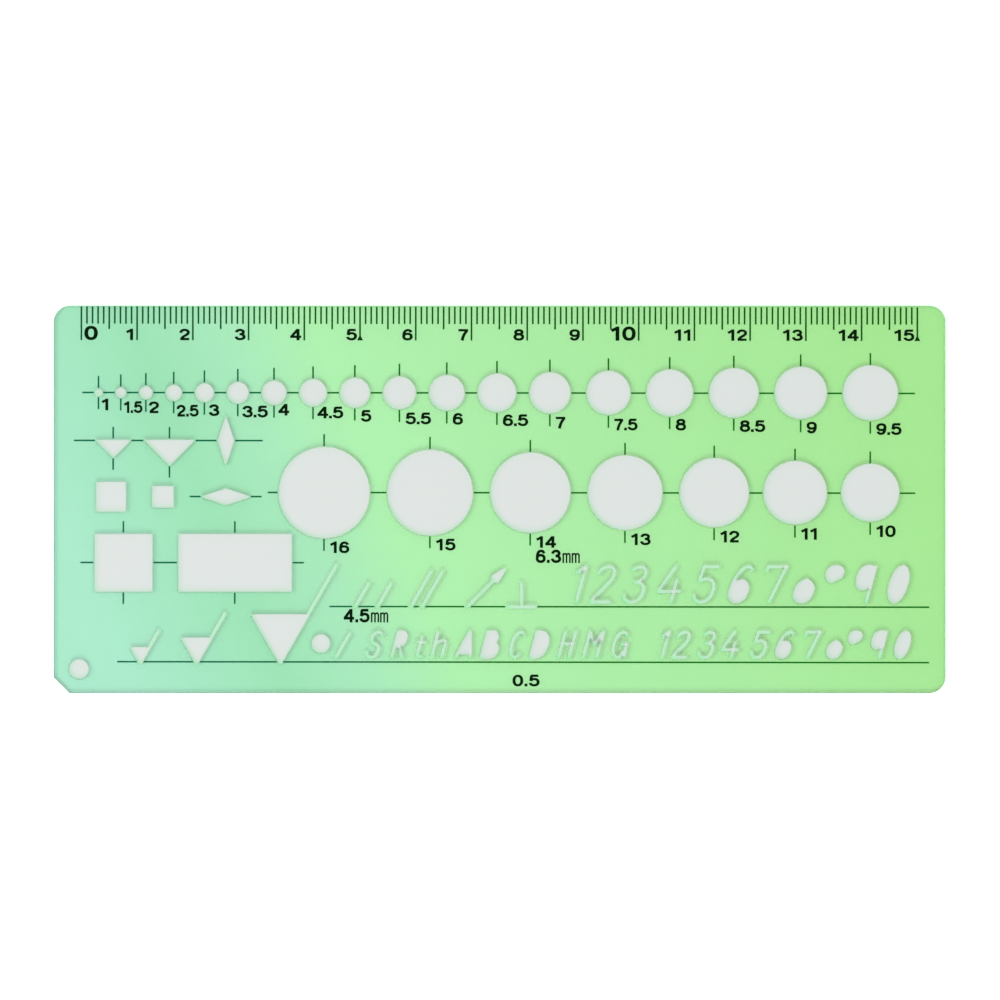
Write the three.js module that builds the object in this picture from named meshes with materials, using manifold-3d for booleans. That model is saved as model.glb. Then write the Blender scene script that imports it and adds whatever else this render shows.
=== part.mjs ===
// Drafting template: one thin sheet of clear green plastic with drawing openings cut through it.
// Millimetres, +Z up. The sheet lies flat with its ruled edge along +Y and the origin under its middle.
import * as THREE from "three";
import { ConvexGeometry } from "three/addons/geometries/ConvexGeometry.js";
import { mergeVertices } from "three/addons/utils/BufferGeometryUtils.js";
import Module from "manifold-3d";

// Sheet
const scaleLength = 150;
const endMargin = 5; // sheet left over past each end of the scale
const sheetThickness = 1;
const cornerRadius = 3;
const cornerCut = 2.7; // leg of the cut-off corner beside the hanging hole
const edgeRound = 0.15;

// Bands between the rows, from the ruled edge down
const rulingBand = 10.65; // graduations and their numbers
const labelBand = 4.65; // free strip under each circle row for its size numbers
const lineBand = 4.15; // free strip between the two lettering rows
const footMargin = 5.5; // lower writing line to the lower edge
const baselineLift = 0.9; // lettering stands this far above its writing line

// Openings
const pencilAllowance = 0.5; // an opening is this much wider than the size it draws
const slotWidth = 0.8; // lettering slots, at the top face
const wallLean = 0.12; // walls close in by this much on the way down to the paper
const facetSag = 0.022; // flat facets stay this close to a true round
const curveSteps = 8; // straight pieces in each bend of a letter
const slotSides = 8; // sides of the round cutter that runs along a slot
const overrun = 0.2; // cutters run past both faces

// Rows of circles, both ending in one column at the right
const circleColumn = 13.5; // right edge to the last circle of each row
const circleMargin = 7; // left edge to the first circle of the upper row
const smallCircles = { last: 9.5, step: -0.5, first: 1, web: 2.75, wideFrom: 7, wideWeb: 3.25 };
const largeCircles = { last: 10, step: 1, first: 16, web: 3, wideFrom: 12, wideWeb: 3.5 };

// Figures at the left, placed by their middle from the left edge
const triangleDrop = 8.6; // upper circle row down to the line of the triangles
const squareDrop = 10.05; // triangles down to the small squares
const boxDrop = 11.85; // small squares down to the square and the rectangle
const smallTriangle = { leg: 4, at: 10.65 };
const largeTriangle = { leg: 6, at: 20.75 };
const rhombus = { length: 8, width: 2.6, at: 30.85 };
const squareFive = { side: 5, at: 10.25 };
const squareSmall = { side: 3.5, at: 19.55 };
const squareTen = { side: 10, at: 12.5 };
const rectangle = { length: 20, side: 10, at: 32.5 };
const figureField = 40; // width at the left kept free of the large circles
const cornerRelief = 0.08; // corner rounding of the straight-sided openings, at the underside

// Surface-finish marks: a triangle standing on its tip, with one side drawn on as a long arm
const finishMarks = [
  { at: 15.55, triangle: 2.4, arm: 5.5 },
  { at: 25.65, triangle: 4.1, arm: 8.7 },
  { at: 40.65, triangle: 8.3, arm: 17.3 },
];

// Hanging hole
const hangHole = 3.6;
const hangInset = 4.5; // from the left edge
const hangRise = 4.3; // from the lower edge

// Lettering
const largeLetter = 6.3;
const smallLetter = 4.5;
const letterSlant = Math.tan(THREE.MathUtils.degToRad(15));
const slash = Math.tan(THREE.MathUtils.degToRad(30)); // sideways run of a 60 degree stroke for its rise
const shortStroke = 4.1;
const longStroke = 6.3;
const arrowRun = 6.6; // sideways and upward run of the arrow
const arrowHead = { length: 2.5, half: 0.6 };
const uprightStroke = 4.2;
const footStroke = 4.8;
const ringSymbol = { size: 3, at: 112.1, rise: 2.45 };

const sheetWidth = scaleLength + 2 * endMargin;
const reach = pencilAllowance / 2;
const slotHalf = slotWidth / 2;
const smallRadius = smallCircles.last / 2 + reach;
const largeRadius = largeCircles.first / 2 + reach;

// Heights of the rows, counted down from the ruled edge
const smallDown = rulingBand + smallRadius;
const largeDown = smallDown + smallRadius + labelBand + largeRadius;
const upperDown = largeDown + largeRadius + labelBand + slotHalf + largeLetter + baselineLift;
const lowerDown = upperDown + lineBand + slotHalf + smallLetter + baselineLift;
const sheetDepth = lowerDown + footMargin;

const leftEdge = -sheetWidth / 2;
const rightEdge = sheetWidth / 2;
const topEdge = sheetDepth / 2;
const smallRow = topEdge - smallDown;
const largeRow = topEdge - largeDown;
const triangleRow = smallRow - triangleDrop;
const squareRow = triangleRow - squareDrop;
const boxRow = squareRow - boxDrop;
const upperLine = topEdge - upperDown;
const lowerLine = topEdge - lowerDown;

const wasm = await Module();
wasm.setup();

function solid(geometry) {
  geometry.deleteAttribute("normal");
  geometry.deleteAttribute("uv");
  const merged = mergeVertices(geometry, 1e-5);
  const vertProperties = new Float32Array(merged.attributes.position.array);
  const triVerts = new Uint32Array(merged.index.array);
  return new wasm.Manifold(new wasm.Mesh({ numProp: 3, vertProperties, triVerts }));
}

function geometryOf(manifold) {
  const mesh = manifold.getMesh();
  const geometry = new THREE.BufferGeometry();
  geometry.setAttribute("position", new THREE.BufferAttribute(mesh.vertProperties, 3));
  geometry.setIndex(new THREE.BufferAttribute(mesh.triVerts, 1));
  geometry.computeVertexNormals();
  return geometry;
}

const join = (solids) => solids.reduce((whole, piece) => whole.add(piece));

// A cutter with this outline at the top face, leaning in towards the underside.
function cutter(outline) {
  const depth = sheetThickness + overrun;
  const lean = (wallLean * depth) / sheetThickness;
  const geometry = new THREE.ExtrudeGeometry(new THREE.Shape(outline), {
    depth: overrun,
    bevelThickness: depth,
    bevelSize: lean,
    bevelOffset: -lean,
    bevelSegments: 1,
  });
  return solid(geometry.translate(0, 0, sheetThickness));
}

function roundCutter(diameter, x, y) {
  const radius = diameter / 2;
  const facets = 4 * Math.ceil(Math.PI / Math.acos(1 - facetSag / radius) / 4);
  const lean = (wallLean * overrun) / sheetThickness;
  const height = sheetThickness + 2 * overrun;
  const geometry = new THREE.CylinderGeometry(radius + lean, radius - wallLean - lean, height, facets);
  geometry.rotateX(Math.PI / 2).translate(x, y, sheetThickness / 2);
  return solid(geometry);
}

// Straight-sided outline with each side pushed out by its own amount, and rounded corners.
function roundedCorners(corners, grow) {
  const radius = cornerRelief + wallLean;
  const count = corners.length;
  const sides = corners.map((corner, i) => {
    const along = corners[(i + 1) % count].clone().sub(corner).normalize();
    const out = new THREE.Vector2(along.y, -along.x);
    return { start: corner.clone().addScaledVector(out, grow[i]), along, out };
  });
  const pushed = sides.map((side, i) => {
    const before = sides[(i + count - 1) % count];
    const gap = side.start.clone().sub(before.start);
    const run = gap.cross(side.along) / before.along.cross(side.along);
    return before.start.clone().addScaledVector(before.along, run);
  });
  const outline = new THREE.Path();
  pushed.forEach((corner, i) => {
    const before = sides[(i + count - 1) % count];
    const turn = Math.acos(before.along.dot(sides[i].along));
    const back = radius * Math.tan(turn / 2);
    const centre = corner.clone().addScaledVector(before.along, -back).addScaledVector(before.out, -radius);
    outline.absarc(centre.x, centre.y, radius, before.out.angle(), sides[i].out.angle(), false);
  });
  return withoutRepeats(outline.getPoints(2));
}

function withoutRepeats(points) {
  const kept = points.filter((p, i) => i === 0 || p.distanceTo(points[i - 1]) > 1e-4);
  const last = kept.length - 1;
  return kept[0].distanceTo(kept[last]) < 1e-4 ? kept.slice(0, last) : kept;
}

const corner = (x, y) => new THREE.Vector2(x, y);

function box(length, side, x, y) {
  const [a, b] = [length / 2, side / 2];
  return [corner(x - a, y - b), corner(x + a, y - b), corner(x + a, y + b), corner(x - a, y + b)];
}

function diamond(length, width, x, y) {
  const [a, b] = [length / 2, width / 2];
  return [corner(x, y - b), corner(x + a, y), corner(x, y + b), corner(x - a, y)];
}

// Right-angled triangle hanging from its long side.
function hangingTriangle(leg, x, y) {
  const half = leg / Math.SQRT2;
  return [corner(x, y - half), corner(x + half, y), corner(x - half, y)];
}

// The round cutter at one point of a slot: a ring of points at its foot and one at its head.
function cutterRings(point) {
  const lean = (wallLean * overrun) / sheetThickness;
  const ends = [
    [-overrun, slotHalf - wallLean - lean],
    [sheetThickness + overrun, slotHalf + lean],
  ];
  return ends.flatMap(([z, radius]) => Array.from({ length: slotSides }, (empty, k) => {
    const angle = (k / slotSides) * 2 * Math.PI;
    return new THREE.Vector3(point.x + radius * Math.cos(angle), point.y + radius * Math.sin(angle), z);
  }));
}

// A slot: the round cutter run from point to point.
function slotCutter(points) {
  const rings = withoutRepeats(points).map(cutterRings);
  const runs = rings.slice(1).map((ring, i) => solid(new ConvexGeometry([...rings[i], ...ring])));
  return join(runs);
}

// An open area: the round cutter run once round it, and all that lies inside.
function areaCutter(points) {
  const geometry = new THREE.ExtrudeGeometry(new THREE.Shape(points), {
    depth: sheetThickness + 2 * overrun,
    bevelEnabled: false,
  });
  const inside = solid(geometry.translate(0, 0, -overrun));
  return inside.add(slotCutter(points)).add(slotCutter([points[points.length - 1], points[0]]));
}

// Letters stand upright on a height of 1: "line" and "bend" are slots, "open" is a cut-out area.
const line = (...xy) => ({ points: [corner(xy[0], xy[1]), corner(xy[2], xy[3])] });
const bend = (draw) => ({ points: draw(new THREE.Path()).getPoints(curveSteps) });
const open = (draw) => ({ points: withoutRepeats(draw(new THREE.Path()).getPoints(curveSteps)), area: true });
const arc = (x, y, a, b, from, to) => (path) =>
  path.absellipse(x, y, a, b, THREE.MathUtils.degToRad(from), THREE.MathUtils.degToRad(to));

const letters = {
  "1": [line(-0.2, 0.82, 0, 1), line(0, 1, 0, 0)],
  "2": [
    bend((p) => p.moveTo(0, 0.8).bezierCurveTo(0.03, 1.07, 0.45, 1.07, 0.45, 0.78)
      .bezierCurveTo(0.45, 0.55, 0.13, 0.3, 0, 0)),
    line(0, 0, 0.52, 0),
  ],
  "3": [
    bend((p) => p.moveTo(0.03, 0.9).bezierCurveTo(0.14, 1.05, 0.43, 1.03, 0.43, 0.78)
      .bezierCurveTo(0.43, 0.64, 0.32, 0.56, 0.18, 0.56)),
    bend((p) => p.moveTo(0.18, 0.56).bezierCurveTo(0.38, 0.56, 0.5, 0.45, 0.5, 0.3)
      .bezierCurveTo(0.5, -0.09, 0.06, -0.09, -0.02, 0.17)),
  ],
  "4": [line(0.31, 1, 0, 0.3), line(0, 0.3, 0.6, 0.3), line(0.44, 0.6, 0.44, 0)],
  "5": [
    line(0.44, 1, 0.05, 1),
    line(0.05, 1, 0.02, 0.6),
    bend((p) => p.moveTo(0.02, 0.6).bezierCurveTo(0.2, 0.72, 0.48, 0.64, 0.48, 0.34)
      .bezierCurveTo(0.48, -0.08, 0.06, -0.1, -0.03, 0.17)),
  ],
  "6": [
    open(arc(0.24, 0.3, 0.24, 0.3, 0, 360)),
    bend((p) => p.moveTo(0.01, 0.36).bezierCurveTo(0.03, 0.75, 0.2, 1, 0.32, 1)
      .quadraticCurveTo(0.42, 1, 0.46, 0.9)),
  ],
  "7": [line(-0.3, 0.88, -0.27, 1), line(-0.27, 1, 0.24, 1), line(0.24, 1, 0, 0)],
  eightFoot: [
    open((p) => p.moveTo(0.25, 0.62).bezierCurveTo(0.1, 0.55, 0.02, 0.45, 0.02, 0.28)
      .bezierCurveTo(0.02, 0.1, 0.12, 0, 0.26, 0).bezierCurveTo(0.4, 0, 0.5, 0.13, 0.5, 0.32)
      .bezierCurveTo(0.5, 0.46, 0.38, 0.55, 0.25, 0.62)),
  ],
  eightHead: [
    open((p) => p.moveTo(0.4, 0.72).bezierCurveTo(0.47, 0.9, 0.34, 1, 0.2, 1)
      .bezierCurveTo(0.05, 1, 0, 0.92, 0, 0.82).bezierCurveTo(0, 0.7, 0.06, 0.62, 0.15, 0.58)),
  ],
  "9": [
    open((p) => p.moveTo(0.42, 0.96).bezierCurveTo(0.36, 1, 0.28, 1, 0.22, 1)
      .bezierCurveTo(0.08, 1, 0, 0.88, 0, 0.69).bezierCurveTo(0, 0.5, 0.08, 0.38, 0.2, 0.38)
      .quadraticCurveTo(0.34, 0.38, 0.42, 0.5)),
    line(0.42, 1, 0.42, 0),
  ],
  "0": [open(arc(0.23, 0.5, 0.23, 0.5, 0, 360))],
  S: [
    bend((p) => p.moveTo(0.37, 0.87).bezierCurveTo(0.34, 1.05, 0.02, 1.06, 0.01, 0.76)
      .bezierCurveTo(0.01, 0.5, 0.4, 0.56, 0.4, 0.27).bezierCurveTo(0.4, -0.07, 0.02, -0.07, -0.04, 0.17)),
  ],
  R: [
    line(0, 0, 0, 1),
    open((p) => p.moveTo(0, 0.46).lineTo(0.16, 0.46)
      .bezierCurveTo(0.42, 0.46, 0.42, 1, 0.16, 1).lineTo(0, 1)),
    line(0.14, 0.46, 0.4, 0),
  ],
  t: [line(0, 0.78, 0, 0.08), line(0, 0.08, 0.13, 0.02), line(-0.15, 0.6, 0.14, 0.6)],
  h: [
    line(0, 1, 0, 0),
    bend((p) => p.moveTo(0, 0.45).bezierCurveTo(0.06, 0.72, 0.4, 0.8, 0.4, 0.48).lineTo(0.4, 0)),
  ],
  A: [
    line(0.29, 1, 0, 0),
    line(0.29, 1, 0.56, 0),
    open((p) => p.moveTo(0.29, 0.8).lineTo(0.1, 0.18).lineTo(0.46, 0.18)),
  ],
  B: [
    open((p) => p.moveTo(0, 0).lineTo(0.3, 0).bezierCurveTo(0.6, 0, 0.62, 0.48, 0.37, 0.54)
      .bezierCurveTo(0.46, 0.62, 0.43, 1, 0.22, 1).lineTo(0, 1)),
  ],
  C: [bend(arc(0.225, 0.5, 0.225, 0.5, 50, 310))],
  D: [open((p) => p.moveTo(0, 0).lineTo(0.16, 0).bezierCurveTo(0.64, 0, 0.64, 1, 0.16, 1).lineTo(0, 1))],
  H: [line(0, 0, 0, 1), line(0.41, 0, 0.41, 1), line(0, 0.54, 0.41, 0.54)],
  M: [line(0, 0, 0, 1), line(0, 1, 0.27, 0.5), line(0.27, 0.5, 0.53, 1), line(0.53, 1, 0.53, 0)],
  G: [bend(arc(0.25, 0.5, 0.25, 0.5, 50, 325)), line(0.27, 0.52, 0.5, 0.52), line(0.5, 0.52, 0.52, 0)],
};

// Strokes of the drawing symbols, in millimetres from the foot of the symbol
const symbols = {
  short: [line(0, 0, shortStroke * slash, shortStroke)],
  long: [line(0, 0, longStroke * slash, longStroke)],
  arrow: [
    line(0, 0, arrowRun, arrowRun),
    { points: arrowOutline(), area: true },
  ],
  upright: [line(0, 0, 0, uprightStroke), line(-footStroke / 2, 0, footStroke / 2, 0)],
};

function arrowOutline() {
  const back = (arrowRun * Math.SQRT2 - arrowHead.length) / Math.SQRT2;
  const aside = arrowHead.half / Math.SQRT2;
  return [corner(back - aside, back + aside), corner(back + aside, back - aside), corner(arrowRun, arrowRun)];
}

// Cutters of one letter or symbol, with its middle at a distance from the right edge.
function letterCutters(strokes, fromRight, foot, height, slant, leftLimit) {
  const drawn = strokes.map((stroke) => ({
    area: stroke.area,
    points: stroke.points.map((p) => corner((p.x + p.y * slant) * height, foot + p.y * height)),
  }));
  const across = drawn.flatMap((stroke) => stroke.points.map((p) => p.x));
  const [low, high] = [Math.min(...across), Math.max(...across)];
  const shift = rightEdge - fromRight - (low + high) / 2;
  if (low + shift - slotHalf < leftLimit) return [];
  drawn.forEach((stroke) => stroke.points.forEach((p) => p.setX(p.x + shift)));
  return drawn.map((stroke) => (stroke.area ? areaCutter(stroke.points) : slotCutter(stroke.points)));
}

const letterRow = (row, foot, height, leftLimit) =>
  row.flatMap(([name, at]) => letterCutters(letters[name], at, foot, height, letterSlant, leftLimit));

const symbolRow = (row, foot, leftLimit) =>
  row.flatMap(([name, at]) => letterCutters(symbols[name], at, foot, 1, 0, leftLimit));

// Middles of the lettering, measured from the right edge
const upperDigits = [
  ["1", 65.4], ["2", 61.5], ["3", 55.75], ["4", 49.65], ["5", 43], ["6", 36.75],
  ["7", 30.3], ["eightFoot", 25.45], ["eightHead", 19.85], ["9", 14.2], ["0", 8.45],
];
const lowerDigits = [
  ["1", 50.25], ["2", 47.5], ["3", 42.9], ["4", 38.75], ["5", 33.3], ["6", 28.85],
  ["7", 23.8], ["eightFoot", 19.95], ["eightHead", 16.2], ["9", 11.85], ["0", 7.7],
];
const lowerLetters = [
  ["S", 102.55], ["R", 98.1], ["t", 94.2], ["h", 91], ["A", 86.6], ["B", 81.9],
  ["C", 76.85], ["D", 72.95], ["H", 67.9], ["M", 63.2], ["G", 58.45],
];
const upperSymbols = [
  ["short", 104.75], ["short", 100.75], ["long", 94.15], ["long", 92.1], ["arrow", 82.55], ["upright", 76.1],
];
const lowerSymbols = [["short", 108.2]];

// A row of circles laid from the right, each one a step on from the last, for as long as they fit.
function circleRow(row, y, leftLimit) {
  const cutters = [];
  const steps = Math.round((row.first - row.last) / row.step);
  let x = rightEdge - circleColumn;
  for (let k = 0; k <= steps; k += 1) {
    const size = row.last + k * row.step;
    if (x - size / 2 - reach < leftLimit) break;
    cutters.push(roundCutter(size + pencilAllowance, x, y));
    const next = size + row.step;
    x -= (size + next) / 2 + (Math.min(size, next) >= row.wideFrom ? row.wideWeb : row.web);
  }
  return cutters;
}

function finishCutters(mark) {
  const tip = corner(leftEdge + mark.at, lowerLine);
  const half = mark.triangle * slash;
  const top = lowerLine + mark.triangle;
  const triangle = [tip, corner(tip.x + half, top), corner(tip.x - half, top)];
  const arm = [tip, corner(tip.x + mark.arm * slash, lowerLine + mark.arm)];
  return [cutter(roundedCorners(triangle, [0, slotHalf, slotHalf])), slotCutter(arm)];
}

const figures = [
  hangingTriangle(smallTriangle.leg, leftEdge + smallTriangle.at, triangleRow),
  hangingTriangle(largeTriangle.leg, leftEdge + largeTriangle.at, triangleRow),
  diamond(rhombus.width, rhombus.length, leftEdge + rhombus.at, triangleRow),
  diamond(rhombus.length, rhombus.width, leftEdge + rhombus.at, squareRow),
  box(squareFive.side, squareFive.side, leftEdge + squareFive.at, squareRow),
  box(squareSmall.side, squareSmall.side, leftEdge + squareSmall.at, squareRow),
  box(squareTen.side, squareTen.side, leftEdge + squareTen.at, boxRow),
  box(rectangle.length, rectangle.side, leftEdge + rectangle.at, boxRow),
];

const armTips = finishMarks.map((mark) => leftEdge + mark.at + mark.arm * slash + slotHalf);
const markSides = finishMarks.map((mark) => leftEdge + mark.at + mark.triangle * slash + slotHalf);
const upperLimit = Math.max(...armTips);
const lowerLimit = Math.max(...markSides);
const upperFoot = upperLine + baselineLift;
const lowerFoot = lowerLine + baselineLift;
const ringAt = rightEdge - ringSymbol.at;
const ringSize = ringSymbol.size + pencilAllowance;

const openings = [
  roundCutter(hangHole, leftEdge + hangInset, -topEdge + hangRise),
  ...circleRow(smallCircles, smallRow, leftEdge + circleMargin),
  ...circleRow(largeCircles, largeRow, leftEdge + figureField),
  ...figures.map((corners) => cutter(roundedCorners(corners, corners.map(() => reach)))),
  ...finishMarks.flatMap(finishCutters),
  ...symbolRow(upperSymbols, upperLine, upperLimit),
  ...symbolRow(lowerSymbols, lowerFoot, lowerLimit),
  ...letterRow(upperDigits, upperFoot, largeLetter, upperLimit),
  ...letterRow(lowerLetters, lowerFoot, smallLetter, lowerLimit),
  ...letterRow(lowerDigits, lowerFoot, smallLetter, lowerLimit),
];
if (ringAt - ringSize / 2 > lowerLimit) {
  openings.push(roundCutter(ringSize, ringAt, lowerFoot + ringSymbol.rise));
}

function sheetOutline() {
  const outline = new THREE.Shape();
  const r = cornerRadius - edgeRound;
  const [x, y] = [rightEdge - edgeRound, topEdge - edgeRound];
  const cut = cornerCut + edgeRound * (1 - Math.SQRT1_2);
  outline.moveTo(-x, -y + cut);
  outline.lineTo(-x + cut, -y);
  outline.absarc(x - r, -y + r, r, -Math.PI / 2, 0);
  outline.absarc(x - r, y - r, r, 0, Math.PI / 2);
  outline.absarc(-x + r, y - r, r, Math.PI / 2, Math.PI);
  return outline;
}

const blank = new THREE.ExtrudeGeometry(sheetOutline(), {
  depth: sheetThickness - 2 * edgeRound,
  bevelThickness: edgeRound,
  bevelSize: edgeRound,
  bevelSegments: 2,
  curveSegments: 10,
});
blank.translate(0, 0, edgeRound);

const sheet = solid(blank).subtract(join(openings));
const clearGreen = new THREE.MeshStandardMaterial({
  color: 0xaaf0b2, roughness: 0.35, metalness: 0, transparent: true, opacity: 0.7,
});
const templateSheet = new THREE.Mesh(geometryOf(sheet), clearGreen);
templateSheet.name = "template_sheet";

const template = new THREE.Group();
template.name = "drafting_template";
template.add(templateSheet);

export default template;
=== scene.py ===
import bmesh
import bpy
import math
from mathutils import Matrix, Vector
from mathutils.bvhtree import BVHTree
from mathutils.geometry import delaunay_2d_cdt


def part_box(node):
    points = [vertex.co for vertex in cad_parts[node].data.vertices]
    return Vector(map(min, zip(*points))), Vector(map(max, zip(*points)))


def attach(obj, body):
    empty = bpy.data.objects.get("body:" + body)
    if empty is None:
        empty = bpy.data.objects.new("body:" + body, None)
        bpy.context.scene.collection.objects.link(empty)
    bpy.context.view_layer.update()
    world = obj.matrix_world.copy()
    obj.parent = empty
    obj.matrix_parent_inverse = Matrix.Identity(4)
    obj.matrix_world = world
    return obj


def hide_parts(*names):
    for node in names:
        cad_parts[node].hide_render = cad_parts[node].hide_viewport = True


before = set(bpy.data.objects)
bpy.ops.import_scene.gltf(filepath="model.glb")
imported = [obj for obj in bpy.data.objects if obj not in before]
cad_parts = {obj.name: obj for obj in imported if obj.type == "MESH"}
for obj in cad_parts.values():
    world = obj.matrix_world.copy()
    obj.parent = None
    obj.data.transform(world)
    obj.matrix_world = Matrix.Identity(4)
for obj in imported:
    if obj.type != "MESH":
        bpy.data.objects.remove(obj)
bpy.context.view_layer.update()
mm = 0.001
sheetLow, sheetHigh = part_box("template_sheet")
topLevel = sheetHigh.z
ruledEdge = sheetHigh.y / mm  # the print is laid out in millimetres
white = (1, 1, 1, 1)
print("frame loaded, sheet is", [round(v / mm, 2) for v in sheetHigh - sheetLow], "mm")


# small helpers for node trees

def newMaterial(name):
    mat = bpy.data.materials.new(name)
    mat.use_nodes = True
    tree = mat.node_tree
    return mat, tree, tree.nodes["Principled BSDF"]


def addNode(tree, kind, links=None, **settings):
    node = tree.nodes.new(kind)
    for key, value in settings.items():
        setattr(node, key, value)
    for socket, source in (links or {}).items():
        if hasattr(source, "is_output"):
            tree.links.new(source, node.inputs[socket])
        else:
            node.inputs[socket].default_value = source
    return node


def mathNode(tree, operation, first, second=0.0):
    return addNode(tree, "ShaderNodeMath", {0: first, 1: second}, operation=operation).outputs[0]


def vectorNode(tree, operation, first, second=(0, 0, 0)):
    return addNode(tree, "ShaderNodeVectorMath", {0: first, 1: second}, operation=operation).outputs


def noiseNode(tree, place, look):
    return addNode(tree, "ShaderNodeTexNoise", {"Vector": place, **look}).outputs[0]


def between(tree, value, low, high):
    return addNode(tree, "ShaderNodeMapRange", {0: value, 3: low, 4: high}).outputs[0]


def mixedColour(tree, share, first, second, blend="MIX"):
    links = {0: share, 6: first, 7: second}
    return addNode(tree, "ShaderNodeMix", links, data_type="RGBA", blend_type=blend).outputs[2]


# rims of the openings, read from the flat faces of the sheet

openingRules = {
    "flat": 0.999,  # how level a face is to count as a flat one
    "levelWithin": 1e-6,  # m that a flat face may be off the level of the sheet's face
    "weld": 1e-8,  # m between corners that are one
    "roundWithin": 0.03,  # mm that a circle's corners may differ in radius
    "rowWithin": 0.2,  # mm that a circle may be off its row
    "pencilAllowance": 0.5,  # mm that an opening is wider than the size it draws
}


def chained(after):
    # loops from a table of what comes after what
    loops = []
    while after:
        start = here = next(iter(after))
        loop = []
        while here in after:
            loop.append(here)
            onward = after[here].pop()
            if not after[here]:
                del after[here]
            here = onward
            if here == start:
                break
        loops.append(loop)
    return loops


def flatFaces(bm, level, up):
    return [f for f in bm.faces if f.normal.z * up > openingRules["flat"]
            and abs(f.calc_center_median().z - level) < openingRules["levelWithin"]]


def span(loop):
    return max(v.co.x for v in loop) - min(v.co.x for v in loop)


def rimLoops(bm, flat):
    # the outline of the sheet comes last, because it is the longest
    after, isFlat = {}, set(flat)
    for face in flat:
        for corner in face.loops:
            if not all(other in isFlat for other in corner.edge.link_faces):
                after.setdefault(corner.vert, []).append(corner.link_loop_next.vert)
    return sorted(chained(after), key=span)


def sheetForm():
    bm = bmesh.new()
    bm.from_mesh(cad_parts["template_sheet"].data)
    bmesh.ops.remove_doubles(bm, verts=bm.verts, dist=openingRules["weld"])
    bm.normal_update()
    return bm


def topRims():
    bm = sheetForm()
    loops = rimLoops(bm, flatFaces(bm, topLevel, 1))[:-1]
    rims = [[v.co.xy / mm for v in reversed(loop)] for loop in loops]
    bm.free()
    return rims


def openingFacts(rim):
    low = Vector((min(p.x for p in rim), min(p.y for p in rim)))
    high = Vector((max(p.x for p in rim), max(p.y for p in rim)))
    centre = (low + high) / 2
    reach = [(p - centre).length for p in rim]
    isRound = max(reach) - min(reach) < openingRules["roundWithin"]
    return {"rim": rim, "low": low, "high": high, "centre": centre, "isRound": isRound}


openings = [openingFacts(rim) for rim in topRims()]
print("openings found:", len(openings))


def openingAt(x, y):
    return min(openings, key=lambda o: (o["centre"] - Vector((x, y))).length)


def circleRow(y):
    row = [o for o in openings if o["isRound"] and abs(o["centre"].y - y) < openingRules["rowWithin"]]
    return sorted(row, key=lambda o: o["centre"].x)


def circleSize(opening):
    # to the nearest half millimetre
    across = opening["high"].x - opening["low"].x
    return round(2 * (across - openingRules["pencilAllowance"])) / 2


# flat shapes in millimetres, joined into one

joinWithin = 1e-5  # mm between corners that are one


def joinedShape(polygons):
    points, faces = [], []
    for polygon in polygons:
        first = len(points)
        points += [Vector(p) for p in polygon]
        faces.append(list(range(first, len(points))))
    spots, _, cells, _, _, owners = delaunay_2d_cdt(points, [], faces, 0, joinWithin)
    return spots, [list(cell) for cell, owner in zip(cells, owners) if owner]


def borderSides(cells):
    # sides that no other cell shares
    sides = {(cell[k - 1], cell[k]) for cell in cells for k in range(len(cell))}
    return [(a, b) for a, b in sorted(sides) if (b, a) not in sides]


# clear green sheet: the solid's own form, with the rims of its openings rounded over

sheetLook = {
    "topRound": 0.18,  # mm, at the printed face
    "underRound": 0.07,
    "roundSteps": 3,
    "sharp": 38,  # degrees between faces that show as an edge
    "colours": {  # by share of the length, from the left end
        0.0: (0.485, 0.8, 0.69, 1),
        0.17: (0.405, 0.75, 0.54, 1),
        0.27: (0.475, 0.80, 0.585, 1),
        0.37: (0.515, 0.855, 0.493, 1),
        0.6: (0.49, 0.82, 0.436, 1),
        1.0: (0.46, 0.795, 0.335, 1),
    },
    "lean": 0.09,  # how much of the run of colours goes across the sheet
    "index": 1.49,
    "cloud": {"Scale": 45.0, "Detail": 3.0},  # slow changes in depth of colour
    "cloudDepth": (0.97, 1.03),
    "grain": {"Scale": 300.0, "Detail": 4.0},
    "bump": {"Strength": 0.05, "Distance": 0.02 * mm},
    "wallTilt": 0.2,  # faces steeper than this are walls, and the others that aren't flat are rims
    "slotWidth": {"wall": 0.9, "rim": 1.2},  # mm, one with another nearer than this is a slot's
    "looks": (-45, 0, 45),  # degrees to the sides in which the other one is looked for
    "lookFrom": 0.01,  # mm clear of the face itself
}
rimRules = {
    "turn": 1e-4,  # sine of the least turn that is filled in round its corner
    "gentle": 0.5,  # cosine of a turn that is filled in one step
    "fanSteps": 3,  # for sharper turns
    "straight": 2e-3,  # sine of a turn that is left out of an outline
    "apart": 1e-4,  # mm between the points of an outline
    "joinWithin": 1e-7,  # mm, finer than for other shapes, so that close rings stay apart
}
outOfWalls = (0.06, 0.14, 0.08, 1)
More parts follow.
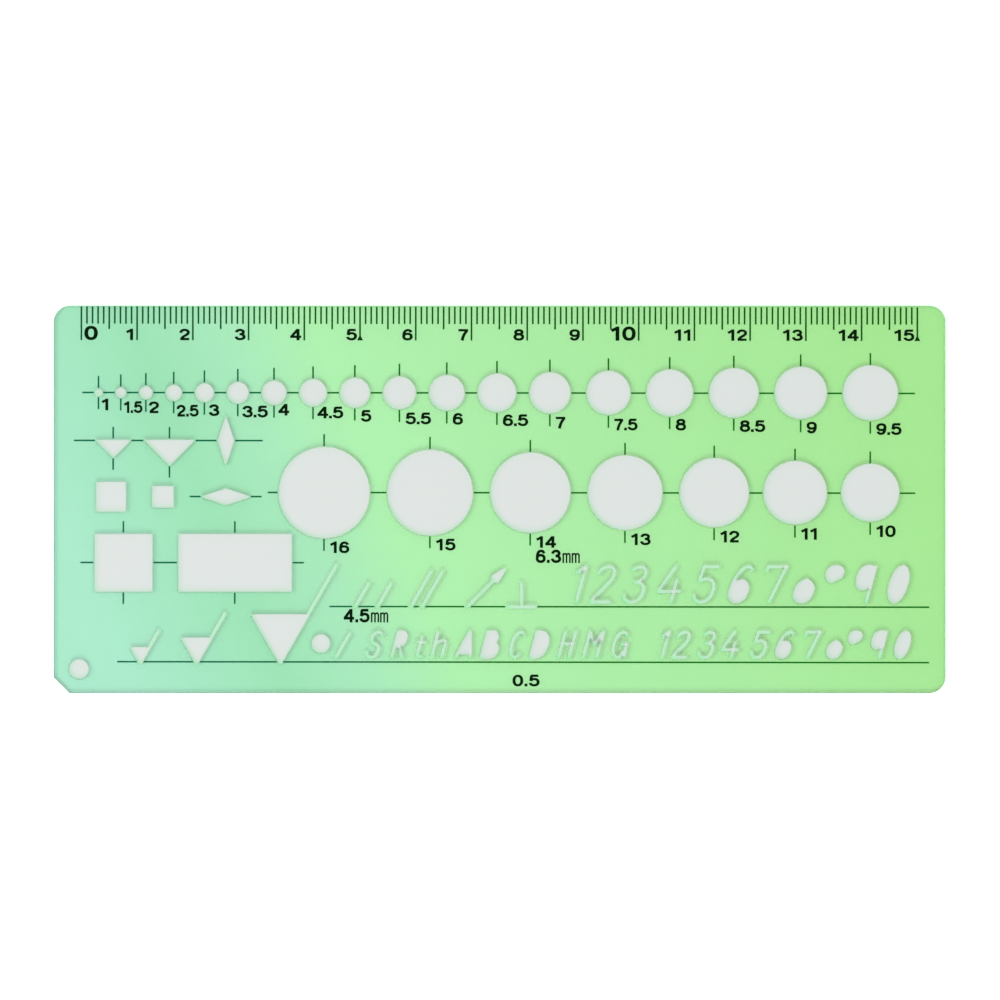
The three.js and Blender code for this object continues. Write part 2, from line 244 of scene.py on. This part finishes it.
# each face, rim and wall of the sheet has its own finish, and its colour also carries painted shade and
# painted light
finishAndShadeLook = {  # lamp light is let into the sheet, and out of its walls, in these shares
    "face": {"depth": 1.0, "clear": 0.75, "roughness": (0.1, 0.16), "shine": 0.5,
             "lets": (0.77, 0.98, 0.81, 1)},
    # rims darker: painted shade for the dark ring that a rounded clear edge shows
    "rim": {"depth": 0.8, "clear": 0.8, "roughness": (0.4, 0.5), "shine": 0.15,
            "lets": (0.7, 0.96, 0.75, 1)},
    # outer walls, walls and slot walls are mixed towards white, partly for their frosted cut finish and
    # partly as painted light for the bright band where light falls on them
    "edge": {"depth": 1.0, "clear": 0.5, "roughness": (0.4, 0.6), "shine": 0.2,
             "lets": (0.85, 1.0, 0.9, 1), "letsOut": outOfWalls, "paleAndPaintedLight": 0.45},
    "wall": {"depth": 1.0, "clear": 0.4, "roughness": (0.5, 0.7), "shine": 0.1,
             "lets": (0.85, 1.0, 0.9, 1), "letsOut": outOfWalls, "paleAndPaintedLight": 0.65},
    "slot": {"depth": 1.0, "clear": 0.5, "roughness": (0.5, 0.7), "shine": 0.1,  # walls close together
             "lets": (0.48, 1.25, 0.64, 1), "letsOut": outOfWalls, "paleAndPaintedLight": 0.3},  # they gather green light
    # rims by slots lighter: painted light that keeps that dark ring off the slots
    "slot rim": {"depth": 1.1, "clear": 0.8, "roughness": (0.4, 0.5), "shine": 0.15,
                 "lets": (0.9, 1.0, 0.93, 1)},
}


def outwards(a, b):
    way = (b - a).normalized()
    return Vector((way.y, -way.x))


def widened(rim, radius):
    # the outlines of an opening that is larger by a radius all round
    shapes = [rim]
    count = len(rim)
    for i, p in enumerate(rim):
        q = rim[(i + 1) % count]
        before, after = outwards(rim[i - 1], p), outwards(p, q)
        shapes.append([p, p + after * radius, q + after * radius, q])
        if before.cross(after) > rimRules["turn"]:
            steps = 1 if before.dot(after) > rimRules["gentle"] else rimRules["fanSteps"]
            fan = [before.lerp(after, k / steps).normalized() for k in range(steps + 1)]
            points = [p, p + before * radius]
            for a, b in zip(fan, fan[1:]):
                points += [p + (a + b) * radius / (1 + a.dot(b)), p + b * radius]
            shapes.append(points)
    spots, cells = joinedShape(shapes)
    onward = {}
    for a, b in borderSides(cells):
        onward.setdefault(a, []).append(b)
    return [plainer([spots[i] for i in loop]) for loop in chained(onward) if len(loop) > 2]


def drawnIn(outline, radius):
    # the outline of the sheet, smaller by a radius all round
    points = []
    for i, p in enumerate(outline):
        before, after = outwards(outline[i - 1], p), outwards(p, outline[(i + 1) % len(outline)])
        points.append(p - (before + after) * radius / (1 + before.dot(after)))
    return points


def plainer(loop):
    # without the points that lie along a straight side
    kept = []
    for i, p in enumerate(loop):
        before, after = p - loop[i - 1], loop[(i + 1) % len(loop)] - p
        if before.length < rimRules["apart"]:
            continue
        turn = abs(before.normalized().cross(after.normalized()))
        if turn > rimRules["straight"] or after.length < rimRules["apart"]:
            kept.append(p)
    return kept


def roundRims(bm, level, up, radius):
    # a new flat face, with a few rings around each opening that go down to its wall
    flat = flatFaces(bm, level, up)
    loops = rimLoops(bm, flat)
    bmesh.ops.delete(bm, geom=flat, context="FACES")
    points, heights, corners, edges, faces = [], [], [], [], []

    def addLoop(spots, height, verts=None):
        first = len(points)
        points.extend(spots)
        heights.extend([height] * len(spots))
        corners.extend(verts or [None] * len(spots))
        return list(range(first, len(points)))

    for loop in [loops[-1]] + loops[:-1]:
        spots = [v.co.xy / mm for v in loop]
        area = sum(a.cross(b) for a, b in zip(spots, spots[1:] + spots[:1]))
        if area < 0:
            loop, spots = loop[::-1], spots[::-1]
        isOutline = not faces
        faces.append(addLoop(spots, -radius, loop))
        for v in loop:
            v.co.z = level - up * radius * mm
        for k in range(1, sheetLook["roundSteps"] + 1):
            turn = math.pi / 2 * k / sheetLook["roundSteps"]
            reach = radius * (1 - math.cos(turn))
            for ringSpots in [drawnIn(spots, reach)] if isOutline else widened(spots, reach):
                ring = addLoop(ringSpots, -radius * (1 - math.sin(turn)))
                edges += zip(ring, ring[1:] + ring[:1])
    spots, _, cells, sources, _, owners = delaunay_2d_cdt(points, edges, faces, 0, rimRules["joinWithin"])
    made = []
    for spot, source in zip(spots, sources):
        known = [i for i in source if corners[i]]
        if known:
            made.append(corners[known[0]])
            continue
        height = heights[source[0]] if source else 0
        made.append(bm.verts.new((spot.x * mm, spot.y * mm, level + up * height * mm)))
    for cell, owner in zip(cells, owners):
        if list(owner) == [0]:
            bm.faces.new([made[i] for i in (cell if up > 0 else reversed(cell))])
    bmesh.ops.delete(bm, geom=[v for v in bm.verts if not v.link_faces], context="VERTS")


def gapAhead(face, solid):
    # mm to what stands opposite, or None at the outer edge of the sheet
    level = Vector((face.normal.x, face.normal.y, 0)).normalized()
    gaps = []
    for degrees in sheetLook["looks"]:
        way = Matrix.Rotation(math.radians(degrees), 3, "Z") @ level
        start = face.calc_center_median() + way * sheetLook["lookFrom"] * mm
        distance = solid.ray_cast(start, way)[3]
        if distance is not None:
            gaps.append(distance / mm)
    return min(gaps, default=None)


def finishOf(face, solid):
    slope = abs(face.normal.z)
    if slope > openingRules["flat"]:
        return "face"
    gap, width = gapAhead(face, solid), sheetLook["slotWidth"]
    if slope < sheetLook["wallTilt"]:
        return "edge" if gap is None else "slot" if gap < width["wall"] else "wall"
    return "slot rim" if gap is not None and gap < width["rim"] else "rim"


def buildSheet():
    finishesAndShades = list(finishAndShadeLook)
    bm = sheetForm()
    roundRims(bm, topLevel, 1, sheetLook["topRound"])
    roundRims(bm, sheetLow.z, -1, sheetLook["underRound"])
    bm.normal_update()
    solid = BVHTree.FromBMesh(bm)
    for face in bm.faces:
        finishAndShade = finishOf(face, solid)
        face.smooth = finishAndShade != "face"
        face.material_index = finishesAndShades.index(finishAndShade)
    for edge in bm.edges:
        edge.smooth = edge.calc_face_angle(0) < math.radians(sheetLook["sharp"])
    openEdges = sum(len(edge.link_faces) != 2 for edge in bm.edges)
    mesh = bpy.data.meshes.new("clear_sheet")
    bm.to_mesh(mesh)
    bm.free()
    piece = bpy.data.objects.new("clear_sheet", mesh)
    bpy.context.scene.collection.objects.link(piece)
    print("clear sheet:", len(mesh.polygons), "faces,", openEdges, "open edges")
    used = [p.material_index for p in mesh.polygons]
    print("finishes:", {finishAndShade: used.count(k) for k, finishAndShade in enumerate(finishesAndShades)})
    return piece


def colourRun(tree, place, colours):
    # by share of the sheet's length
    spot = addNode(tree, "ShaderNodeSeparateXYZ", {0: place})
    share = mathNode(tree, "MULTIPLY", spot.outputs["X"], 0.5 / sheetHigh.x)
    across = mathNode(tree, "MULTIPLY", spot.outputs["Y"], sheetLook["lean"] / sheetHigh.y)
    share = mathNode(tree, "ADD", mathNode(tree, "ADD", share, across), 0.5)
    ramp = addNode(tree, "ShaderNodeValToRGB", {0: share})
    stops = ramp.color_ramp.elements
    stops.remove(stops[1])
    for position, colour in colours.items():
        stop = stops[0] if position == 0 else stops.new(position)
        stop.color = colour
    return ramp.outputs[0]


def plasticMaterial(name, finishAndShade):
    mat, tree, surface = newMaterial(name)
    place = addNode(tree, "ShaderNodeTexCoord").outputs["Object"]
    cloud = noiseNode(tree, place, sheetLook["cloud"])
    # the colour is darkened as painted shade on the rims and lightened as painted light on the rims by
    # slots
    thin, thick = [share * finishAndShade["depth"] for share in sheetLook["cloudDepth"]]
    shade = between(tree, cloud, thin, thick)
    colour = colourRun(tree, place, sheetLook["colours"])
    tint = mixedColour(tree, 1.0, colour, shade, "MULTIPLY")
    # mixed towards white: partly a frosted cut finish, partly painted light on the walls
    if "paleAndPaintedLight" in finishAndShade:
        tint = mixedColour(tree, finishAndShade["paleAndPaintedLight"], tint, white)
    tree.links.new(tint, surface.inputs["Base Color"])
    grain = noiseNode(tree, place, sheetLook["grain"])
    tree.links.new(between(tree, grain, *finishAndShade["roughness"]), surface.inputs["Roughness"])
    bump = addNode(tree, "ShaderNodeBump", {"Height": grain, **sheetLook["bump"]})
    tree.links.new(bump.outputs[0], surface.inputs["Normal"])
    surface.inputs["Transmission Weight"].default_value = finishAndShade["clear"]
    surface.inputs["IOR"].default_value = sheetLook["index"]
    surface.inputs["Specular IOR Level"].default_value = finishAndShade["shine"]
    rays = addNode(tree, "ShaderNodeLightPath")
    passing = addNode(tree, "ShaderNodeBsdfTransparent", {0: finishAndShade["lets"]})
    if "letsOut" in finishAndShade:
        inside = addNode(tree, "ShaderNodeNewGeometry").outputs["Backfacing"]
        lets = mixedColour(tree, inside, finishAndShade["lets"], finishAndShade["letsOut"])
        tree.links.new(lets, passing.inputs[0])
    toFloor = mathNode(tree, "MAXIMUM", rays.outputs["Is Shadow Ray"], rays.outputs["Is Diffuse Ray"])
    mixed = addNode(tree, "ShaderNodeMixShader", {0: toFloor, 1: surface.outputs[0], 2: passing.outputs[0]})
    tree.links.new(mixed.outputs[0], tree.nodes["Material Output"].inputs["Surface"])
    return mat


clearSheet = buildSheet()
for name, finishAndShade in finishAndShadeLook.items():
    clearSheet.data.materials.append(plasticMaterial("clear green " + name, finishAndShade))
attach(clearSheet, "root")
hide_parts("template_sheet")


# ink: flat shapes raised a little from the top face

inkLook = {
    "film": 0.015,  # mm thick
    "seat": 0.002,  # mm above the sheet
    "tilt": -0.07,  # degrees that the print is out of line with the sheet
    "colours": {  # thinner on lines, which show some of the sheet's own colour
        "numbers": {0.0: (0.0003, 0.0085, 0.0004, 1)},
        "scale": {0.0: (0.002, 0.07, 0.03, 1), 0.35: (0.001, 0.07, 0.003, 1)},
        "lines": {0.0: (0.002, 0.12, 0.065, 1), 0.25: (0.002, 0.12, 0.05, 1),
                  0.4: (0.001, 0.13, 0.004, 1)},
    },
    "grain": {"Scale": 3500.0, "Detail": 3.0},
    "grainShade": (0.6, 1.6),
    "roughness": (0.4, 0.6),
    "shine": 0.03,
    "graze": 0.01,  # mm inside an opening at which a line that only touches its rim is cut
}


def inkMaterial(use):
    mat, tree, surface = newMaterial("ink for " + use)
    place = addNode(tree, "ShaderNodeTexCoord").outputs["Object"]
    grain = noiseNode(tree, place, inkLook["grain"])
    shade = between(tree, grain, *inkLook["grainShade"])
    colour = colourRun(tree, place, inkLook["colours"][use])
    tree.links.new(mixedColour(tree, 1.0, colour, shade, "MULTIPLY"), surface.inputs["Base Color"])
    tree.links.new(between(tree, grain, *inkLook["roughness"]), surface.inputs["Roughness"])
    surface.inputs["Specular IOR Level"].default_value = inkLook["shine"]
    return mat


inks = {use: inkMaterial(use) for use in inkLook["colours"]}


def printPiece(name, use, polygons):
    turn = Matrix.Rotation(math.radians(inkLook["tilt"]), 2)
    spots, cells = joinedShape([[turn @ Vector(p) for p in polygon] for polygon in polygons])
    base = topLevel + inkLook["seat"] * mm
    top = topLevel + (inkLook["seat"] + inkLook["film"]) * mm
    bm = bmesh.new()
    used = sorted({i for cell in cells for i in cell})
    lower = {i: bm.verts.new((spots[i].x * mm, spots[i].y * mm, base)) for i in used}
    upper = {i: bm.verts.new((spots[i].x * mm, spots[i].y * mm, top)) for i in used}
    for cell in cells:
        bm.faces.new([upper[i] for i in cell])
        bm.faces.new([lower[i] for i in reversed(cell)])
    for a, b in borderSides(cells):
        bm.faces.new([lower[a], lower[b], upper[b], upper[a]])
    bmesh.ops.recalc_face_normals(bm, faces=bm.faces)
    mesh = bpy.data.meshes.new(name)
    bm.to_mesh(mesh)
    bm.free()
    piece = bpy.data.objects.new(name, mesh)
    bpy.context.scene.collection.objects.link(piece)
    mesh.materials.append(inks[use])
    piece.visible_shadow = False  # too thin for a shadow that shows
    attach(piece, "root")
    print(name + ":", len(polygons), "shapes,", len(mesh.polygons), "faces")


def bar(x, y, width, height):
    a, b = width / 2, height / 2
    return [(x - a, y - b), (x + a, y - b), (x + a, y + b), (x - a, y + b)]


def levelLine(y, start, end, width, clear):
    # a line across the sheet that stops short of every opening in its way
    cuts = []
    for opening in openings:
        if not opening["low"].y - width < y < opening["high"].y + width:
            continue
        rim, graze = opening["rim"], inkLook["graze"]
        level = min(max(y, opening["low"].y + graze), opening["high"].y - graze)
        crossings = []
        for a, b in zip(rim, rim[1:] + rim[:1]):
            if (a.y > level) != (b.y > level):
                crossings.append(a.x + (b.x - a.x) * (level - a.y) / (b.y - a.y))
        crossings.sort()
        cuts += zip(crossings[0::2], crossings[1::2])
    pieces, here = [], start
    for low, high in sorted(cuts):
        if high < here or low > end:
            continue
        if low - clear > here:
            pieces.append((here, low - clear))
        here = max(here, high + clear)
    if here < end:
        pieces.append((here, end))
    return [bar((a + b) / 2, y, b - a, width) for a, b in pieces if b - a > width]


# numbers: each has a few strokes on a height of 1, as paths or closed rings

def along(*path, steps=10):
    # straight to a pair, or bent through two handles to a third pair
    points = [Vector(path[0])]
    for step in path[1:]:
        if len(step) == 2:
            points.append(Vector(step))
            continue
        a, (b, c, d) = points[-1], (Vector(step[0:2]), Vector(step[2:4]), Vector(step[4:6]))
        for k in range(1, steps + 1):
            t = k / steps
            s = 1 - t
            points.append(a * s ** 3 + b * 3 * s * s * t + c * 3 * s * t * t + d * t ** 3)
    return points


def ring(x, y, a, b, power=2.3, steps=36):
    points = []
    for k in range(steps + 1):
        c, s = math.cos(2 * math.pi * k / steps), math.sin(2 * math.pi * k / steps)
        points.append(Vector((x + a * math.copysign(abs(c) ** (2 / power), c),
                              y + b * math.copysign(abs(s) ** (2 / power), s))))
    return points


def turned(path, middle):
    return [Vector((2 * middle - p.x, 1 - p.y)) for p in path]


sixHook = along((0.11, 0.36), (0.11, 0.7, 0.22, 0.9, 0.47, 0.9), (0.62, 0.9, 0.71, 0.84, 0.75, 0.71))
sixBowl = ring(0.44, 0.34, 0.33, 0.24)
figureStrokes = {
    "0": [ring(0.44, 0.5, 0.34, 0.4)],
    "1": [along((0.03, 0.7), (0.44, 0.88)), along((0.46, 1), (0.46, 0))],
    "2": [along((0.11, 0.64), (0.11, 0.83, 0.25, 0.9, 0.44, 0.9), (0.64, 0.9, 0.76, 0.81, 0.76, 0.68),
                (0.76, 0.44, 0.26, 0.4, 0.16, 0.1)), along((0.05, 0.1), (0.84, 0.1))],
    "3": [along((0.11, 0.69), (0.13, 0.83, 0.25, 0.9, 0.43, 0.9), (0.6, 0.9, 0.72, 0.83, 0.72, 0.72),
                (0.72, 0.6, 0.6, 0.53, 0.38, 0.53)),
          along((0.38, 0.53), (0.63, 0.53, 0.78, 0.45, 0.78, 0.3), (0.78, 0.17, 0.62, 0.1, 0.43, 0.1),
                (0.23, 0.1, 0.1, 0.19, 0.08, 0.33))],
    "4": [along((0.68, 1), (0.68, 0)), along((0.64, 0.93), (0.1, 0.32)),
          along((-0.01, 0.31), (0.97, 0.31))],
    "5": [along((0.17, 0.91), (0.8, 0.91)), along((0.2, 0.95), (0.13, 0.46)),
          along((0.13, 0.48), (0.22, 0.6, 0.32, 0.63, 0.45, 0.63), (0.66, 0.63, 0.78, 0.52, 0.78, 0.36),
                (0.78, 0.19, 0.62, 0.1, 0.43, 0.1), (0.23, 0.1, 0.1, 0.18, 0.08, 0.31))],
    "6": [sixHook, sixBowl],
    "7": [along((0.01, 0.9), (0.86, 0.9)), along((0.8, 0.9), (0.56, 0.66, 0.38, 0.34, 0.35, 0))],
    "8": [ring(0.44, 0.735, 0.28, 0.165), ring(0.44, 0.32, 0.34, 0.22)],
    "9": [turned(sixHook, 0.44), turned(sixBowl, 0.44)],
    ".": [along((0, 0.12), (0.27, 0.12))],
    "m": [along((0.07, 0), (0.07, 0.74)),
          along((0.07, 0.56), (0.11, 0.71, 0.38, 0.78, 0.38, 0.53), (0.38, 0)),
          along((0.38, 0.56), (0.42, 0.71, 0.69, 0.78, 0.69, 0.53), (0.69, 0))],
}
figureLook = {
    "pen": (0.27, 0.21),  # thickness of upright and of level strokes
    "thinPen": (0.15, 0.13),
    "thin": "m",  # letters drawn with the thin pen
    "point": (0.27, 0.24),  # pen of the decimal point
    "mitre": 0.5,  # least cosine, which keeps sharp turns blunt
    "closed": 1e-6,  # ends nearer than this are one
    "gap": 0.11,
    "room": {"1": (0, 0.09), ".": (-0.05, -0.05), "m": (-0.04, -0.03)},  # added before and after
}


def ribbon(path, pen):
    # quads along a stroke, mitred where it turns
    closed = (path[0] - path[-1]).length < figureLook["closed"]
    points = path[:-1] if closed else path
    count = len(points)
    sides = []
    for i, p in enumerate(points):
        before = points[i - 1] if i or closed else None
        after = points[(i + 1) % count] if i + 1 < count or closed else None
        ends = [(a, b) for a, b in ((before, p), (p, after)) if a is not None and b is not None]
        ways = [(b - a).normalized() for a, b in ends]
        normals = [Vector((-w.y, w.x)) for w in ways]
        lean = (normals[0] + normals[-1]).normalized()
        lean = lean / max(lean.dot(normals[0]), figureLook["mitre"]) / 2
        side = Vector((lean.x * pen[0], lean.y * pen[1]))
        sides.append((p + side, p - side))
    pairs = list(zip(sides, sides[1:] + sides[:1] if closed else sides[1:]))
    return [[a[0], a[1], b[1], b[0]] for a, b in pairs]


def figure(letter):
    pen = figureLook["thinPen" if letter in figureLook["thin"] else "pen"]
    if letter == ".":
        pen = figureLook["point"]
    quads = [quad for path in figureStrokes[letter] for quad in ribbon(path, pen)]
    left = min(p.x for quad in quads for p in quad)
    right = max(p.x for quad in quads for p in quad)
    return [[p - Vector((left, 0)) for p in quad] for quad in quads], right - left


def printed(text, x, y, height, wide=1.0, endsAt=False, gap=figureLook["gap"]):
    shapes, pen = [], 0.0
    for letter in text:
        quads, width = figure(letter)
        before, after = figureLook["room"].get(letter, (0, 0))
        shapes += [[p + Vector((pen + before, 0)) for p in quad] for quad in quads]
        pen += before + width + after + gap
    start = x - (pen - gap) * height * wide if endsAt else x
    return [[(start + p.x * height * wide, y + p.y * height) for p in quad] for quad in shapes]


# scale along the ruled edge

scaleLook = {
    "start": -75.08,  # place of its 0 along the sheet
    "length": 150,
    "inset": 0.2,  # lines begin this far in from the edge
    "line": 0.31,
    "ticks": {10: 6.25, 5: 4.25, 1: 3.3},  # length by the step it marks
    "figure": 2.05,
    "bigFigure": 2.55,
    "figureFoot": 6.25,  # below the ruled edge
    "figureGap": 0.53,
    "arrows": (50, 150),
    "arrow": (1.05, 1.1),  # width and height
}


def scaleLines():
    shapes = []
    for step in range(scaleLook["length"] + 1):
        reach = next(v for k, v in scaleLook["ticks"].items() if step % k == 0)
        high, low = ruledEdge - scaleLook["inset"], ruledEdge - reach
        shapes.append(bar(scaleLook["start"] + step, (high + low) / 2, scaleLook["line"], high - low))
    return shapes


def scaleFigures():
    shapes = []
    foot = ruledEdge - scaleLook["figureFoot"]
    for tens in range(scaleLook["length"] // 10 + 1):
        x = scaleLook["start"] + 10 * tens
        height = scaleLook["figure"] if tens % 10 else scaleLook["bigFigure"]
        side = -1 if tens else 1
        shapes += printed(str(tens), x + side * scaleLook["figureGap"], foot, height, endsAt=tens > 0)
    wide, tall = scaleLook["arrow"]
    for step in scaleLook["arrows"]:
        x = scaleLook["start"] + step
        shapes.append([(x - wide / 2, foot), (x + wide / 2, foot), (x, foot + tall)])
    return shapes


printPiece("scale_lines", "scale", scaleLines())
printPiece("scale_numbers", "numbers", scaleFigures())


# centre lines and size numbers of the circles

circleLook = {
    "rows": (19.1, 1.2),  # height of each row on the sheet
    "ends": ((-74.9, 74.5), (-41.6, 74.6)),  # of its centre line
    "line": 0.3,
    "clear": 0.08,
    "tick": 2.15,
    "figure": 2.1,
    "wide": 0.95,
    "narrow": {1.5: 0.78, 2.5: 0.83, 7.5: 0.89},  # numbers that have less room
    "offset": {5: 1.06, 3: 0.78, 0: 0.53},  # tick to the number, by the least size it holds for
    "drop": (0.22, 0.4),  # number below the foot of the tick, for each row
    "shifts": {  # numbers that stand out of line, by size
        1.5: -0.23, 2.5: -0.36, 4: 0.6, 4.5: 0.35, 5.5: -0.2, 7: -0.17, 7.5: -0.25,
    },
}


def crossTicks(opening, length, clear):
    x, high, low = opening["centre"].x, opening["high"].y + clear, opening["low"].y - clear
    width = circleLook["line"]
    return [bar(x, high + length / 2, width, length), bar(x, low - length / 2, width, length)]


def circleLines():
    shapes = []
    for y, (start, end) in zip(circleLook["rows"], circleLook["ends"]):
        row = circleRow(y)
        middle = row[0]["centre"].y
        shapes += levelLine(middle, start, end, circleLook["line"], circleLook["clear"])
        for opening in row:
            shapes += crossTicks(opening, circleLook["tick"], circleLook["clear"])
    return shapes


def circleFigures():
    shapes = []
    for y, drop in zip(circleLook["rows"], circleLook["drop"]):
        for opening in circleRow(y):
            size = circleSize(opening)
            x = opening["centre"].x + next(v for k, v in circleLook["offset"].items() if size >= k)
            foot = opening["low"].y - circleLook["clear"] - circleLook["tick"] - drop
            foot += circleLook["shifts"].get(size, 0)
            wide = circleLook["narrow"].get(size, circleLook["wide"])
            shapes += printed("%g" % size, x, foot, circleLook["figure"], wide)
    return shapes


printPiece("circle_lines", "lines", circleLines())
printPiece("circle_numbers", "numbers", circleFigures())


# guide lines of the straight-sided figures and of the lettering

guideLook = {
    "line": 0.3,
    "clear": 0.12,
    "level": ((10.5, -76.4, -42.5), (0.45, -55.6, -42.7), (-11.4, -75.2, -35.1)),  # height, from, to
    "ticks": (  # places of the openings with an upright centre line
        (-69.35, 9.0), (-59.25, 8.5), (-67.5, -11.4), (-47.5, -11.4),
    ),
    "tick": 2.05,
    "writing": ((-19.25, -30.5, 77.1), (-29.2, -68.6, 77.1)),  # under the lettering
    "writingLine": 0.29,
    "sizes": (  # text, left end, foot, height, width against height
        ("6.3mm", 6.5, -11.4, 2.4, 0.8),
        ("4.5mm", -27.95, -22.1, 2.4, 0.8),
        ("0.5", 2.35, -33.55, 2.1, 0.97),
    ),
    "gap": 0.155,
}


def guideLines():
    shapes = []
    for y, start, end in guideLook["level"]:
        shapes += levelLine(y, start, end, guideLook["line"], guideLook["clear"])
    for x, y in guideLook["ticks"]:
        shapes += crossTicks(openingAt(x, y), guideLook["tick"], guideLook["clear"])
    return shapes


def writingLines():
    shapes = []
    for y, start, end in guideLook["writing"]:
        shapes += levelLine(y, start, end, guideLook["writingLine"], guideLook["clear"])
    return shapes


def letterSizes():
    shapes = []
    for text, x, y, height, wide in guideLook["sizes"]:
        shapes += printed(text, x, y, height, wide, gap=guideLook["gap"])
    return shapes


printPiece("guide_lines", "lines", guideLines())
printPiece("writing_lines", "lines", writingLines())
printPiece("letter_sizes", "numbers", letterSizes())


# stage: pale floor, soft light, camera straight above

stageLook = {
    "floor": 2.0,  # m on each side
    "floorDrop": 0.05 * mm,
    "floorShade": (0.672, 0.706, 0.69, 1),
    "floorRoughness": 0.9,
    "lift": (0.04, 0.42),  # added for the eye, in the openings and around the sheet
    # painted light: a glow of the floor, seen only through the sheet and in its reflections
    "through": 0.35,  # added for what is seen through the sheet
    "footprintRound": 5 * mm,
    "footprintInset": 0.3 * mm,
    "world": 0.34,
    "lamps": {"left lamp": (-1.9, -0.15, 2.25), "front lamp": (-0.3, -1.9, 2.25)},
    "lampPower": 42.0,
    "lampSize": 1.0,
}
photoLook = {
    "pixelsPerMm": 5.573,
    "pixels": 1000,
    "middle": (499.6, 499.4),  # pixel at the middle of the sheet
    "height": 0.5,  # m from the camera to the sheet
}


def floorMaterial():
    mat, tree, surface = newMaterial("pale floor")
    surface.inputs["Base Color"].default_value = stageLook["floorShade"]
    surface.inputs["Roughness"].default_value = stageLook["floorRoughness"]
    surface.inputs["Specular IOR Level"].default_value = 0.0
    place = addNode(tree, "ShaderNodeTexCoord").outputs["Object"]
    # distance from the core of the sheet tells the floor around it from the floor below it
    flat = vectorNode(tree, "MULTIPLY", place, (1, 1, 0))[0]
    away = vectorNode(tree, "ABSOLUTE", flat)[0]
    corner = stageLook["footprintRound"]
    core = (sheetHigh.x - corner, sheetHigh.y - corner, 0)
    past = vectorNode(tree, "SUBTRACT", away, core)[0]
    past = vectorNode(tree, "MAXIMUM", past)[0]
    reach = vectorNode(tree, "LENGTH", past)["Value"]
    around = mathNode(tree, "GREATER_THAN", reach, corner - stageLook["footprintInset"])
    rays = addNode(tree, "ShaderNodeLightPath")
    inside, outside = stageLook["lift"]
    lift = addNode(tree, "ShaderNodeMix", {0: around, 2: inside, 3: outside}, data_type="FLOAT").outputs[0]
    lift = mathNode(tree, "MULTIPLY", rays.outputs["Is Camera Ray"], lift)
    # painted light: the floor glows for rays that reach it through the sheet or off its surface
    bySheet = mathNode(tree, "MAXIMUM", rays.outputs["Is Transmission Ray"], rays.outputs["Is Glossy Ray"])
    through = mathNode(tree, "MULTIPLY", bySheet, stageLook["through"])
    surface.inputs["Emission Color"].default_value = white
    tree.links.new(mathNode(tree, "ADD", lift, through), surface.inputs["Emission Strength"])
    return mat


def buildFloor():
    half = stageLook["floor"] / 2
    mesh = bpy.data.meshes.new("floor")
    corners = [(-half, -half, 0), (half, -half, 0), (half, half, 0), (-half, half, 0)]
    mesh.from_pydata(corners, [], [(0, 1, 2, 3)])
    floor = bpy.data.objects.new("floor", mesh)
    floor.location.z = sheetLow.z - stageLook["floorDrop"]
    bpy.context.scene.collection.objects.link(floor)
    mesh.materials.append(floorMaterial())


def buildWorld():
    world = bpy.data.worlds.new("studio")
    bpy.context.scene.world = world
    world.use_nodes = True
    tree = world.node_tree
    tree.nodes.clear()
    rays = addNode(tree, "ShaderNodeLightPath")
    shown = mathNode(tree, "MAXIMUM", rays.outputs["Is Camera Ray"], rays.outputs["Is Transmission Ray"])
    shown = mathNode(tree, "MAXIMUM", shown, rays.outputs["Is Glossy Ray"])
    light = addNode(tree, "ShaderNodeBackground", {"Strength": stageLook["world"], "Color": white})
    backdrop = addNode(tree, "ShaderNodeBackground", {"Strength": 1.0, "Color": white})
    mixed = addNode(tree, "ShaderNodeMixShader", {0: shown, 1: light.outputs[0], 2: backdrop.outputs[0]})
    addNode(tree, "ShaderNodeOutputWorld", {0: mixed.outputs[0]})


def buildLights():
    for name, place in stageLook["lamps"].items():
        light = bpy.data.lights.new(name, "AREA")
        light.energy = stageLook["lampPower"]
        light.size = stageLook["lampSize"]
        lamp = bpy.data.objects.new(name, light)
        lamp.location = place
        lamp.rotation_euler = (-Vector(place)).to_track_quat("-Z", "Y").to_euler()
        lamp.visible_transmission = False  # no sparks in the walls
        bpy.context.scene.collection.objects.link(lamp)


def buildCamera():
    data = bpy.data.cameras.new("camera")
    data.type = "ORTHO"
    pixel = mm / photoLook["pixelsPerMm"]
    data.ortho_scale = photoLook["pixels"] * pixel
    camera = bpy.data.objects.new("camera", data)
    right, down = [(photoLook["pixels"] / 2 - m) * pixel for m in photoLook["middle"]]
    camera.location = (right, -down, photoLook["height"])
    bpy.context.scene.collection.objects.link(camera)
    bpy.context.scene.camera = camera


buildFloor()
buildWorld()
buildLights()
buildCamera()
bpy.context.scene.view_settings.view_transform = "Standard"
print("stage set")
